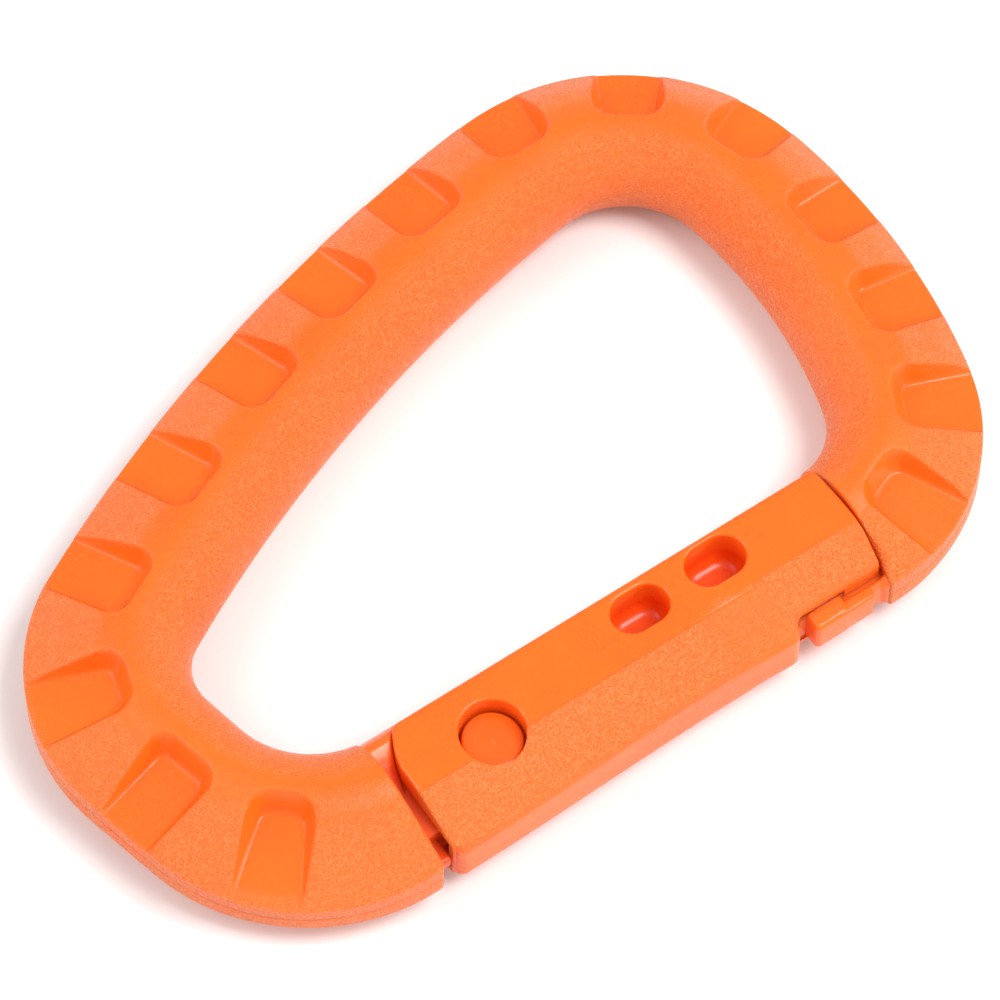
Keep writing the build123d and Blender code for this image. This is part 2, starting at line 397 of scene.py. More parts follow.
class Socket:
    """A shader output that takes part in Python arithmetic; each step adds one Math node."""

    def __init__(self, tree: Any, output: Any) -> None:
        """Wrap an output socket of a node tree."""
        self.tree = tree
        self.output = output

    def _math(self, operation: str, *values: Any) -> "Socket":
        """Add a Math node and return its result."""
        node = self.tree.nodes.new("ShaderNodeMath")
        node.operation = operation
        for slot, value in zip(node.inputs, values):
            if isinstance(value, Socket):
                self.tree.links.new(value.output, slot)
            else:
                slot.default_value = value
        return Socket(self.tree, node.outputs[0])

    def __add__(self, other: Any) -> "Socket":
        """Sum."""
        return self._math("ADD", self, other)

    __radd__ = __add__

    def __sub__(self, other: Any) -> "Socket":
        """Difference."""
        return self._math("SUBTRACT", self, other)

    def __rsub__(self, other: Any) -> "Socket":
        """Difference with this value taken away."""
        return self._math("SUBTRACT", other, self)

    def __mul__(self, other: Any) -> "Socket":
        """Product."""
        return self._math("MULTIPLY", self, other)

    __rmul__ = __mul__

    def __pow__(self, other: float) -> "Socket":
        """Power."""
        return self._math("POWER", self, other)


class Shading:
    """Node tree of one material, with a Principled surface to dress."""

    def __init__(self, name: str) -> None:
        """Start an empty material with its surface and its Object coordinates."""
        self.material = bpy.data.materials.new(name)
        self.material.use_nodes = True
        self.tree = self.material.node_tree
        self.tree.nodes.clear()
        self.surface = self.tree.nodes.new("ShaderNodeBsdfPrincipled")
        end = self.tree.nodes.new("ShaderNodeOutputMaterial")
        self.tree.links.new(self.surface.outputs[0], end.inputs["Surface"])
        self.place = self.node("ShaderNodeTexCoord", {}, {}, "Object")

    def node(self, kind: str, settings: dict[str, Any], values: dict[str, Any], out: str) -> Socket:
        """Add any node.

        Args:
            kind: Blender's node type.
            settings: attributes set before the inputs.
            values: input sockets by name, each a number, a tuple or a Socket.
            out: name of the output to return.

        Returns:
            The wrapped output.
        """
        made = self.tree.nodes.new(kind)
        for key, value in settings.items():
            setattr(made, key, value)
        for key, value in values.items():
            slots = [s for s in made.inputs if s.name == key and s.enabled]
            if isinstance(value, Socket):
                self.tree.links.new(value.output, slots[0])
            else:
                slots[0].default_value = value
        return Socket(self.tree, [s for s in made.outputs if s.name == out and s.enabled][0])

    def noise(self, size: float, detail: float, rough: float = 0.5) -> Socket:
        """Noise whose lumps are about size millimetres across."""
        values = {"Vector": self.place, "Scale": 1 / (size * MM), "Detail": detail, "Roughness": rough}
        return self.node("ShaderNodeTexNoise", {}, values, "Fac")

    def mask(self, value: Socket, low: float, high: float) -> Socket:
        """Smoothly rising share of a value between two limits."""
        limits = {"Value": value, "From Min": low, "From Max": high}
        return self.node("ShaderNodeMapRange", {"interpolation_type": "SMOOTHSTEP"}, limits, "Result")

    def attribute(self, name: str) -> Socket:
        """A number stored at the mesh's vertices."""
        return self.node("ShaderNodeAttribute", {"attribute_name": name}, {}, "Fac")

    def blend(self, share: Any, first: Any, second: Any) -> Socket:
        """Mix two colours by a share."""
        settings = {"data_type": "RGBA"}
        return self.node("ShaderNodeMix", settings, {"Factor": share, "A": first, "B": second}, "Result")

    def feed(self, name: str, value: Any) -> None:
        """Set a socket of the surface to a constant or link it."""
        if isinstance(value, Socket):
            self.tree.links.new(value.output, self.surface.inputs[name])
        else:
            self.surface.inputs[name].default_value = value

    def relief(self, height: Socket, depth: float) -> None:
        """Bump the surface by a height map, depth in millimetres."""
        values = {"Height": height, "Distance": depth * MM, "Strength": 1.0}
        self.feed("Normal", self.node("ShaderNodeBump", {}, values, "Normal"))


class Slot(Enum):
    """Material slots of the record."""

    RING = "ring_plastic"
    GATE = "gate_plastic"
    SPRING = "spring_steel"


@dataclass(frozen=True)
class MouldedPlastic:
    """Satin moulded plastic, spark-eroded where the mesh's mark is above 0, painted deep red below it as
    painted shade.
    """

    name: str
    colour: tuple[float, float, float, float] = (0.92, 0.150, 0.010, 1.0)
    # Paler red for grained skin: a painted highlight standing for its sparkle.
    painted_highlight: tuple[float, float, float, float] = (0.95, 0.255, 0.065, 1.0)
    deep: tuple[float, float, float, float] = (0.86, 0.110, 0.004, 1.0)
    # Red painted into hollows, slots and hidden faces: painted shade, not a different plastic.
    core: tuple[float, float, float, float] = (0.78, 0.018, 0.006, 1.0)
    grain_size: float = 0.21
    grain_depth: float = 0.34
    roughness: float = 0.25
    specular: float = 0.36
    bleed: float = 0.3
    bleed_tint: tuple[float, float, float] = (1.0, 0.10, 0.03)
    bleed_reach: float = 2.5

    def make(self) -> Any:
        """Build the material.

        Grain is two sizes of noise, the finer one folded into ridges (2n - 1)^2, and grained skin is
        painted paler, most where the noise is highest, as a painted highlight for its sparkle. A broad
        slow noise moves the colour and the gloss, faint flow marks cross the smooth skin, and marks
        below 0 blend the colour into the core red as painted shade.

        Returns:
            The material.
        """
        skin = Shading(self.name)
        stored = skin.attribute(GRAIN_AND_SHADE)
        grained = skin.mask(stored, 0.0, 1.0)
        # Share of painted shade, taken from marks below 0.
        inner = skin.mask(stored, 0.0, -1.0)
        pebble = skin.noise(self.grain_size, 2.0, 0.55)
        crease = skin.noise(self.grain_size * 0.62, 1.0)
        ridge = (crease * 2.0 - 1.0) * (crease * 2.0 - 1.0)
        cloud = skin.mask(skin.noise(9.0, 3.0), 0.35, 0.68)
        haze = skin.noise(0.9, 4.0, 0.6)
        height = grained * (pebble + ridge * 0.55) + (1.0 - grained) * haze * 0.12
        # Painted highlight: the grain's highest noise is painted paler, as sparkle.
        highlight_peaks = skin.mask(pebble, 0.40, 0.62)
        base = skin.blend(cloud * 0.35, self.colour, self.deep)
        base = skin.blend(grained * grained * (0.20 + 0.70 * highlight_peaks), base, self.painted_highlight)
        skin.feed("Base Color", skin.blend(inner, base, self.core))
        skin.feed("Roughness", self.roughness + 0.10 * (haze - 0.5) + 0.06 * (cloud - 0.5))
        skin.feed("Specular IOR Level", self.specular)
        skin.feed("Subsurface Weight", self.bleed)
        skin.feed("Subsurface Radius", self.bleed_tint)
        skin.feed("Subsurface Scale", self.bleed_reach * MM)
        skin.relief(height, self.grain_depth)
        return skin.material


@dataclass(frozen=True)
class SpringSteel:
    """Bright rolled strip with fine lines along its length."""

    name: str = "rolled_spring_steel"
    stretch: tuple[float, float, float] = (25.0, 900.0, 900.0)
    dark: tuple[float, float, float, float] = (0.42, 0.42, 0.43, 1.0)
    bright: tuple[float, float, float, float] = (0.63, 0.62, 0.60, 1.0)

    def make(self) -> Any:
        """Build the material: noise drawn out along X gives the rolling lines."""
        skin = Shading(self.name)
        drawn = {"Vector": skin.place, "Scale": self.stretch}
        lines_at = skin.node("ShaderNodeMapping", {}, drawn, "Vector")
        values = {"Vector": lines_at, "Scale": 8.0, "Detail": 3.0}
        lines = skin.node("ShaderNodeTexNoise", {}, values, "Fac")
        skin.feed("Base Color", skin.blend(lines, self.dark, self.bright))
        skin.feed("Metallic", 1.0)
        skin.feed("Roughness", 0.28 + 0.16 * lines)
        skin.relief(lines, 0.01)
        return skin.material


def dress(piece: Any, material: Any) -> Any:
    """Give a piece its finish."""
    piece.data.materials.clear()
    piece.data.materials.append(material)
    return piece


# ---------------------------------------------------------------- ring


@dataclass
class Ring:
    """The D-shaped ring with its grip pockets, open between the hinge and the nose."""

    inner: ArcChain = ArcChain(
        (-19.47, -15.03),
        184.0,
        (
            (8.11, 81.63),
            (187.45, 1.21),
            (5.04, 72.25),
            (140.74, 20.59),
            (7.47, 88.28),
            (45.86, 26.53),
            (6.32, 73.68),
        ),
    )
    outer: ArcChain = ArcChain(
        (-21.42, -28.45),
        183.93,
        (
            (18.16, 79.16),
            (157.69, 3.08),
            (17.06, 73.74),
            (151.87, 20.72),
            (20.62, 86.38),
            (59.35, 26.06),
            (17.55, 77.02),
        ),
    )
    half_thick: float = 4.897
    crest_turn: float = 17.0
    land_radius: float = 50.0
    band_half: float = 1.9
    band_round: float = 0.6
    band_slope: float = 38.0
    parting_depth: float = 0.07
    hinge_face: float = -21.32
    nose_face: float = 35.84
    end_round: float = 0.6
    shrink: float = 0.9999
    nose_round: float = 0.3
    nose_cove: float = 0.7
    cove_in: tuple[float, float] = (0.8, 2.0)
    cove_out: tuple[float, float] = (4.4, 3.0)
    grain_least: float = 0.30
    grain_crest: float = 0.45
    grain_lost: float = 0.8
    stations: tuple[float, ...] = (
        15.4, 28.9, 42.1, 56.9, 68.5, 79.9, 90.8, 101.6, 112.9, 125.9, 138.6, 150.0, 160.5, 171.8, 184.4
    )
    pocket_width: float = 4.9
    pocket_setback: float = 6.3
    pocket_corner: float = 0.9
    pocket_draft: float = 24.0
    floor_in: float = 2.55
    floor_out: float = 1.65
    floor_fillet: float = 0.45
    rim_fillet: float = 0.38

    def width(self, s: Array) -> Array:
        """Ring width along the outer outline's inward normal at each distance."""
        point, normal = self.outer.point(s)

        def gap(v: Array) -> Array:
            """How far inside the inner outline the points at these widths lie."""
            return -self.inner.beyond(point - v[..., None] * normal)

        return solve(gap, np.full(s.shape, 4.0), np.full(s.shape, 24.0))

    def section_height(self, u: Array, v: Array) -> Array:
        """Height of the plain ring above its mid-plane.

        The inner side is a half-round r: sqrt(r^2 - (u - r)^2), carried past its top by the crest
        turn, then a crown of the land radius. The outer bevel is h + v tan(slope), and the band's
        edge is a circle tangent to the band and to the bevel.

        Args:
            u: distance from the inner edge.
            v: distance from the outer edge.

        Returns:
            Heights.
        """
        r = self.half_thick
        a = math.radians(self.crest_turn)
        turn_u = r + r * math.sin(a)
        dome = np.sqrt(np.maximum(r * r - (np.clip(u, 0, turn_u) - r) ** 2, 0.0))
        past = np.clip(math.sin(a) + (u - turn_u) / self.land_radius, -1, 1)
        land = r * math.cos(a) - self.land_radius * (math.cos(a) - np.sqrt(1 - past ** 2))
        top = np.where(u < turn_u, dome, land)
        slope = math.radians(self.band_slope)
        bevel = self.band_half + math.tan(slope) * v
        e = self.band_round
        centre = self.band_half - e * math.tan((math.pi / 2 - slope) / 2)
        edge = centre + np.sqrt(np.maximum(e * e - (e - np.clip(v, 0, e)) ** 2, 0.0))
        outer = np.where(v < e * (1 - math.sin(slope)), edge, bevel)
        return smooth_min(top, outer, 0.35)

    def sink_pockets(self, xy: Array, height: Array) -> tuple[Array, Array]:
        """Lower the surface into the grip pockets.

        In a pocket's own frame a runs across it and v inwards. Its plan distance d is that of a
        rectangle with rounded corners whose half width follows the fan of the outline's normals,
        and the wall stands at floor + max(0, d) / tan(draft).

        Args:
            xy: plan of the grid.
            height: height of the plain ring there.

        Returns:
            The lowered heights, and the share of pocket at each point, 0 to 1.
        """
        points, normals = self.outer.point(np.array(self.stations))
        widths = -self.inner.beyond(points)
        share = np.zeros(height.shape)
        rise = 1 / math.tan(math.radians(self.pocket_draft))
        for k, (point, normal) in enumerate(zip(points, normals)):
            depth = -widths[k] - self.pocket_setback
            bend = self.pocket_width / 2 / self.bend_radius(self.stations[k])
            p = xy - point
            v = -(p @ normal)
            a = np.abs(p @ np.array([normal[1], -normal[0]]))
            half = self.pocket_width / 2 - bend * (v - depth / 2)
            c = self.pocket_corner
            q = np.stack([a - half + c, v - depth + c], -1)
            d = np.linalg.norm(np.maximum(q, 0), axis=-1) + np.minimum(q.max(-1), 0) - c
            d = np.where((v > -3) & (v < depth + 4) & (a < 8), d, 9.0)
            floor = self.floor_out + (self.floor_in - self.floor_out) * np.clip(v, -1, 12) / depth
            wall = floor + rise * smooth_max(d, np.zeros_like(d), self.floor_fillet / rise)
            share = np.maximum(share, fade(wall - height, 0.25, -0.5))
            height = smooth_min(height, wall, self.rim_fillet)
        return height, share

    def bend_radius(self, s: float) -> float:
        """Radius of the outer outline at a distance along it."""
        _, radii, _, _, starts = self.outer.table()
        return float(radii[max(int(np.searchsorted(starts, s, "right")) - 1, 0)])

    def row_places(self) -> Array:
        """Distances of the rows: close together on the pocket walls, at the ends closer still."""
        wall = np.linspace(1.75, 4.55, 19)
        middle = np.linspace(-1.4, 1.4, 6)
        near = np.concatenate([-wall[::-1], middle, wall])
        rows = [np.array(self.stations)[:, None] + near]
        total = self.outer.length()
        close = self.end_round * np.append(CLOSE, [1.9, 3.4])
        rows += [close[None], total - close[None]]
        marks = np.sort(np.concatenate([r.ravel() for r in rows]))
        marks = marks[np.concatenate([[True], np.diff(marks) > 0.012])]
        gaps = [np.linspace(a, b, 2 + int((b - a) / 0.45))[:-1] for a, b in zip(marks, marks[1:])]
        return np.concatenate(gaps + [marks[-1:]])

    def columns(self) -> tuple[Array, Array, Array]:
        """Columns from the outer parting line over the top to the inner one.

        Returns:
            For each column the two terms of v = c0 + c1 W(s), and the greatest height allowed.
        """
        e = self.band_round
        bands = [(self.parting_depth, 0.0), (self.parting_depth * 0.5, 0.07), (0.0, 0.14), (0.0, 0.8)]
        rows = [(v, 0.0, z) for v, z in bands]
        reach = math.radians(90 - self.band_slope)
        rows += [(e - e * math.cos(t), 0.0, 9.0) for t in np.linspace(0, reach, 6)]
        edge = e - e * math.cos(reach)
        far = 7.3
        shares = np.linspace(0, 1, 15)[1:]
        rows += [(edge * (1 - f) - far * f, f, 9.0) for f in shares]
        near = np.concatenate([np.arange(far, 6.9, -0.2)[1:], np.arange(6.9, 5.0, -0.125)])
        rows += [(-q, 1.0, 9.0) for q in near]
        r = self.half_thick
        rows += [(-(r - r * math.cos(t)), 1.0, 9.0) for t in np.linspace(math.pi / 2, 0, 19)[:-1]]
        rows += [(0.0, 1.0, 0.0)]
        table = np.array(rows)
        return table[:, 0], table[:, 1], table[:, 2]

    def surface(self) -> tuple[Array, Array]:
        """Grid of the ring's surface, rows along it and columns right round its section.

        Returns:
            Points (rows, columns, 3) and the grain at each.
        """
        base, share, cap = self.columns()
        s = self.row_places()
        total = self.outer.length()
        table = np.linspace(-6, total + 6, 3000)
        widths = self.width(table)

        def plan(distance: Array) -> Array:
            """Plan of every column at distances along the outer outline."""
            point, normal = self.outer.point(distance)
            v = base + share * np.interp(distance, table, widths)
            return point - v[..., None] * normal

        def hinge_gap(distance: Array) -> Array:
            """How far each column's point lies past the hinge face."""
            return self.hinge_face - plan(distance)[..., 0]

        def nose_gap(distance: Array) -> Array:
            """How far each column's point lies past the nose face, a circle about the pivot."""
            return self.nose_face - np.linalg.norm(plan(distance) - np.array(PIVOT), axis=-1)

        ones = np.ones(len(base))
        first = solve(hinge_gap, -4 * ones, 5 * ones)
        last = solve(nose_gap, (total - 6) * ones, (total + 4) * ones)
        start = fade(s, 7.0, 0.0)[:, None]
        end = fade(s, total - 3.6, total)[:, None]
        place = s[:, None] + start * first + end * (last - total)
        xy = plan(place)
        v = base + share * np.interp(place, table, widths)
        u = np.maximum(self.inner.beyond(xy), 0.0)
        height = self.section_height(u, v)
        height, pocket = self.sink_pockets(xy, height)
        height = np.minimum(height, cap)
        crest = fade(np.abs(u - 5.6), 1.2, 2.6)
        grain = (self.grain_least + self.grain_crest * crest) * (1 - self.grain_lost * pocket)
        grid = both_faces(np.concatenate([xy, height[..., None]], -1)) * [self.shrink, 1, 1]
        grain = np.concatenate([grain, grain[:, -2:0:-1]], 1)
        grid = ease_end(grid, s, ALONG_X, self.end_round)
        radial = unit((grid[-1:, :, :] - np.array([*PIVOT, 0])) * [1, 1, 0])
        cove = self.nose_cove * fade(v[-1], *self.cove_in) * fade(v[-1], *self.cove_out)
        rounding = self.nose_round + cove
        rounding = np.concatenate([rounding, rounding[-2:0:-1]])
        return ease_end(grid, total - s, radial, rounding), grain

    def body(self) -> Any:
        """Mesh of the ring itself, its two end faces closed by rungs across the mid-plane."""
        grid, grain = self.surface()
        rows, cols = grid.shape[:2]
        faces = loop_faces(rows, cols).tolist() + cap_faces(rows, cols)
        return make_piece("ring_body", grid.reshape(-1, 3), faces, grain.ravel())

    def build(self, plastic: Any) -> list[Any]:
        """Build the ring in its finish and let it stand for the frame node."""
        body = dress(self.body(), plastic)
        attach(body, "frame")
        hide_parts("frame")
        return [body]


@dataclass
class HingeAndCatch:
    """What stands out of the ring's ends: the hinge tongue with its pin, and the nose catch."""

    tongue_half: float = 1.8
    tongue_tail: float = -11.5
    tongue_reach: float = 3.6
    pin_radius: float = 2.54
    pin_half: float = 3.0
    pin_edge: float = 0.25
    ramp_slope: float = 9.0
    ramp_height: float = 2.95
    head: tuple[float, float, float, float] = (27.9, 31.3, -6.4, 2.6)
    head_round: float = 0.45
    neck: tuple[float, float, float, float] = (31.2, 36.9, -5.7, 2.6)
    neck_half: float = 0.95
    lip_inner: float = -5.2
    lip_outer: float = -6.35
    lip_notch: tuple[float, float] = (33.7, 34.6)
    lip_half: float = 1.6
    cove: tuple[float, float, float] = (34.9, 36.3, 2.3)
    shoulder: tuple[float, float] = (-6.1, 6.05)
    inner_edge: float = 6.42
    shoulder_clear: float = 8.13
    shoulder_line: float = -8.06
    shoulder_half: tuple[float, float] = (1.7, 4.0)
    shoulder_back: float = -10.6
    lip_ends: tuple[float, float] = (30.6, 37.2)
    lip_ease: float = 0.25
    edge: float = 0.3
    # Marks below 0 are painted shade: deep red on the tongue, neck and pin, which sit in shade.
    tongue_shade_mark: float = -0.4
    neck_shade_mark: float = -0.25
    pin_shade_mark: float = -0.2
    bar_mark: float = 0.2
    # Strength of the painted shade on the shoulder's side that faces the gate's slot.
    painted_shade_mark: float = 0.7

    def moulding(self, name: str, outline: Array, half: float, mark: float, plastic: Any) -> Any:
        """A rounded slab about the mid-plane that rides on the ring.

        Args:
            name: name of the piece.
            outline: its plan, taken from the pivot.
            half: half its height.
            mark: one mark for the whole slab: grain above 0, painted shade below it.
            plastic: its finish.

        Returns:
            The piece.
        """
        points, faces = slab(outline, -half, half, self.edge)
        piece = make_piece(name, at_pivot(points), faces, np.full(len(points), mark))
        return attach(dress(piece, plastic), "frame")

    def finish_bar(self, name: str, solid: tuple[Array, list[list[int]]], turned: bool, plastic: Any) -> Any:
        """Place a bar at the pivot and let it ride on the ring.

        Args:
            name: name of the piece.
            solid: points and faces of the bar.
            turned: lay it along Y, and give it painted shade where it faces the gate's slot.
            plastic: its finish.

        Returns:
            The piece.
        """
        points, faces = solid
        mark = np.full(len(points), self.bar_mark)
        if turned:
            points = points[:, [1, 0, 2]]
            # Painted shade on the shoulder's side that faces the gate's slot.
            mark = self.bar_mark - self.painted_shade_mark * fade(points[:, 1], 5.0, 2.0)
        piece = make_piece(name, at_pivot(points), faces, mark)
        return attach(dress(piece, plastic), "frame")

    def catch_head(self, plastic: Any) -> Any:
        """Upright head of the catch, its corners well rounded."""
        first, last, low, high = self.head
        x = bar_places(first, last, self.head_round, 12)
        low, high, half = (np.full(len(x), value) for value in (low, high, self.tongue_half))
        solid = bar(x, low, high, half, self.head_round, self.head_round)
        return self.finish_bar("catch_head", solid, False, plastic)

    def lip(self, plastic: Any) -> Any:
        """Ledge along the neck's outer side, notched, then rising in a cove into the ring's end."""
        x = bar_places(*self.lip_ends, self.lip_ease, 60)
        first, last = self.lip_notch
        notch = fade(x, first - 0.15, first + 0.15)
        outer = self.lip_outer + 0.5 * notch - 0.35 * fade(x, last, last + 0.5)
        low, high, top = self.cove
        inner = self.lip_inner + 0.3 * fade(x, low, high)
        half = self.lip_half + (top - self.lip_half) * fade(x, low, high)
        solid = bar(x, outer, inner, half, self.edge, self.lip_ease)
        return self.finish_bar("catch_lip", solid, False, plastic)

    def hinge_shoulder(self, plastic: Any) -> Any:
        """Web between the ring and the gate's tail, rising towards the inner edge.

        Its tail side keeps clear of the gate's swing: x = -sqrt(r^2 - y^2).
        """
        y = bar_places(*self.shoulder, self.edge, 60)
        tail = -np.sqrt(self.shoulder_clear ** 2 - y ** 2)
        tail = np.where(y < 0, np.minimum(tail, self.shoulder_line), tail)
        low, high = self.shoulder_half
        u = self.inner_edge - y
        dome = np.sqrt(np.maximum(MID_PLANE ** 2 - (MID_PLANE - u) ** 2, 0.5)) - 0.05
        half = smooth_min(low + (high - low) * fade(y, -0.5, 5.1), dome, 0.3)
        solid = bar(y, np.full(len(y), self.shoulder_back), tail, half, self.edge, self.edge)
        return self.finish_bar("hinge_shoulder", solid, True, plastic)

    def pin(self, plastic: Any) -> Any:
        """Hinge pin: a round bar whose rims are eased and whose ends fall away towards the nose.

        The profile turns about Z, and each end is then held below height - x tan(slope).

        Args:
            plastic: its finish.

        Returns:
            The pin.
        """
        turn = np.linspace(0, math.pi / 2, 6)
        r, e = self.pin_radius, self.pin_edge
        radii = np.concatenate([np.linspace(0, r - e, 9)[1:], (r - e + e * np.sin(turn))[1:], [r]])
        rim = self.pin_half - e + e * np.cos(turn)
        heights = np.concatenate([np.full(8, self.pin_half), rim[1:], [0]])
        radii = np.concatenate([radii, radii[-2::-1]])
        heights = np.concatenate([heights, -heights[-2::-1]])
        angle = np.linspace(0, 2 * math.pi, 97)[:-1]
        x = radii[:, None] * np.cos(angle)
        y = radii[:, None] * np.sin(angle)
        ramp = self.ramp_height - math.tan(math.radians(self.ramp_slope)) * x
        z = np.sign(heights)[:, None] * smooth_min(np.abs(heights)[:, None] + 0 * x, ramp, 0.5)
        points = np.stack([x + PIVOT[0], y + PIVOT[1], z], -1).reshape(-1, 3)
        hubs = np.array([[*PIVOT, self.pin_half], [*PIVOT, -self.pin_half]])
        count = len(angle)
        last = len(points) - count
        faces = loop_faces(len(radii), count).tolist()
        faces += fan_faces(list(range(count))[::-1], len(points))
        faces += fan_faces([last + k for k in range(count)], len(points) + 1)
        points = np.concatenate([points, hubs])
        piece = make_piece("hinge_pin", points, faces, np.full(len(points), self.pin_shade_mark))
        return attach(dress(piece, plastic), "frame")

    def build(self, plastic: Any) -> list[Any]:
        """Build the tongue, pin, catch head, neck, lip and hinge shoulder."""
        tongue = box_outline(self.tongue_tail, self.tongue_reach, -4.0, 5.1)
        neck = sector_outline(*self.neck)
        return [
            self.moulding("hinge_tongue", tongue, self.tongue_half, self.tongue_shade_mark, plastic),
            self.pin(plastic),
            self.catch_head(plastic),
            self.moulding("catch_neck", neck, self.neck_half, self.neck_shade_mark, plastic),
            self.lip(plastic),
            self.hinge_shoulder(plastic),
        ]


# ---------------------------------------------------------------- gate


@dataclass(frozen=True)
class Recess:
    """A round or stadium-shaped sink in a cheek, and the block of the cheek's grid it fills."""

    x: float
    y: float
    length: float
    width: float
    floor: float
    block: tuple[float, float, float, float]
    rim: float = 0.25
    foot: float = 0.35

    def outline(self, xy: Array) -> tuple[Array, Array]:
        """Nearest core point and outward direction: the core is the line between end centres."""
        half = (self.length - self.width) / 2
        along = np.clip(xy[:, 0], self.x - half, self.x + half)
        core = np.stack([along, np.full(len(xy), self.y)], -1)
        return core, unit(xy - core)


@dataclass
class Gate:
    """The sprung gate: two cheeks, an outer wall, recesses, a pin hole and hidden channels."""

    half: float = 4.5
    inner_y: float = 5.1
    inner_round: float = 0.6
    tail_radius: float = 8.2
    nose_radius: float = 35.65
    facet_slope: float = 22.0
    facet_blend: float = 0.22
    wall_end: float = 26.6
    wall_round: float = 1.1
    wall_marks: tuple[tuple[float, float], ...] = (
        (-8.7, -6.93),
        (-4.0, -6.86),
        (0.0, -6.78),
        (6.0, -6.6),
        (12.0, -6.33),
        (18.0, -6.2),
        (22.0, -6.3),
        (26.6, -6.45),
    )
    facet_line: float = -1.15
    nose_line: float = -0.75
    dip: float = 0.22
    eased: float = 0.60
    tail_line: float = -7.98
    tail_round: float = 8.1
    tail_corner: float = 0.7
    low_y: float = -4.75
    rim: float = 0.8
    end_round: float = 0.3
    step: float = 0.2
    top_line: float = 4.8
    low_line: float = -3.6
    slot_half: float = 2.1
    rib_half: float = 1.25
    side_turns: tuple[float, ...] = (0.0, 15.0, 30.0, 45.0)
    # Below this level a recess wall loses its grain and takes painted shade, which is full at the next
    # level.
    shade_start_level: float = 3.6
    full_shade_level: float = 1.4
    # Strength of the painted shade in the recesses and on the cut slot walls.
    painted_shade_mark: float = 0.4
    recesses: tuple[Recess, ...] = (
        Recess(0.0, 0.0, 5.6, 5.6, 1.0, (-3.6, 3.6, -3.4, 3.6)),
        Recess(16.2, 2.4, 5.2, 3.6, 0.45, (13.0, 19.4, 0.0, 4.8), foot=1.1),
        Recess(23.8, 2.55, 5.4, 3.8, 0.45, (20.6, 27.0, 0.0, 4.8), foot=1.1),
    )

    def wall_line(self, x: Array) -> Array:
        """Plan of the outer wall: a quartic through its marks, a corner arc, then the cheek's edge."""
        wall = np.polyval(np.polyfit(*np.array(self.wall_marks).T, 4), x)
        start = self.wall_end - self.wall_round
        sag = np.sqrt(np.maximum(self.wall_round ** 2 - np.clip(x - start, 0, None) ** 2, 0.0))
        corner = wall + self.wall_round - sag
        wall = np.where(x > start, corner, wall)
        r = self.tail_corner
        short = np.clip(self.tail_line + r - x, 0, r)
        wall = wall + r - np.sqrt(r * r - short * short)
        return np.where(x > self.wall_end, self.low_y, wall)

    def cheek_height(self, x: Array, y: Array) -> Array:
        """Height of a cheek: flat, falling at the facet slope beyond each facet's upper line.

        The two facets meet in a smooth dip, and past a slanting line short of the nose the fall is
        less. The inner edge is a quarter round.

        Args:
            x: plan X from the pivot.
            y: plan Y from the pivot.

        Returns:
            Heights above the mid-plane.
        """
        fall = math.tan(math.radians(self.facet_slope))
        k = self.facet_blend
        long_drop = fall * smooth_max(self.facet_line - y, np.zeros_like(x), k)
        short_drop = fall * smooth_max(self.nose_line - y, np.zeros_like(x), k)
        swap = fade(x, 23.8, 26.2)
        drop = long_drop * (1 - swap) + short_drop * swap
        drop = drop + self.dip * np.exp(-(((x - 23.3) / 1.5) ** 2)) * fade(y, 0.2, -3.4)
        drop = drop * (1 - self.eased * fade(self.slant(x, y), -0.1, 1.5))
        over = np.clip(y - (self.inner_y - self.inner_round), 0, self.inner_round)
        return self.half - drop - (self.inner_round - np.sqrt(self.inner_round ** 2 - over ** 2))

    def slant(self, x: Array, y: Array) -> Array:
        """Distance past the line from which the nose facet eases, drawn slantwise to the nose."""
        return (x - 33.1) * 0.76 + (y + 0.8) * 0.65

    def grain_at(self, x: Array, y: Array) -> Array:
        """Grain of the cheek, 0 to 1: most on the two facets, less in their dip and past the slant."""
        front = 20.6 - 0.35 * (y + 4.0)
        long_facet = fade(self.facet_line - y, -0.1, 0.35) * fade(x, front + 1.0, front - 1.0)
        short_facet = fade(self.nose_line - y, -0.05, 0.2) * fade(x, 25.0, 26.4)
        patch = 0.35 * np.exp(-(((x - 21.8) / 1.6) ** 2) - ((y + 0.6) / 0.7) ** 2)
        grain = np.maximum(long_facet, short_facet * fade(self.slant(x, y), 0.1, 0.0))
        line = np.where(x > 25.0, self.nose_line, self.facet_line)
        grain = np.maximum(grain, 0.6 * fade(line - y, -0.1, 0.35))
        return np.clip(np.maximum(grain, patch), 0, 1)

    def x_lines(self) -> Array:
        """X of the rows: block limits are kept, and the wall's corner and both ends are fine."""
        close = self.end_round * CLOSE
        corner = self.wall_end - self.wall_round * (1 - np.sin(np.linspace(0, math.pi / 2, 9)))
        marks = [-self.tail_radius + close, self.nose_radius - close[::-1], corner, [self.wall_end + 0.02]]
        marks += [np.array(r.block[:2]) for r in self.recesses]
        marks = np.unique(np.round(np.concatenate(marks), 5))
        pairs = zip(marks, marks[1:])
        spans = [np.linspace(a, b, 2 + int((b - a) / 0.26))[:-1] for a, b in pairs]
        return np.concatenate(spans + [marks[-1:]])

    def y_lines(self) -> Array:
        """Y of the straight lines on the cheek, from the inner edge outwards."""
        return np.arange(self.top_line, self.low_line - 1e-6, -self.step)

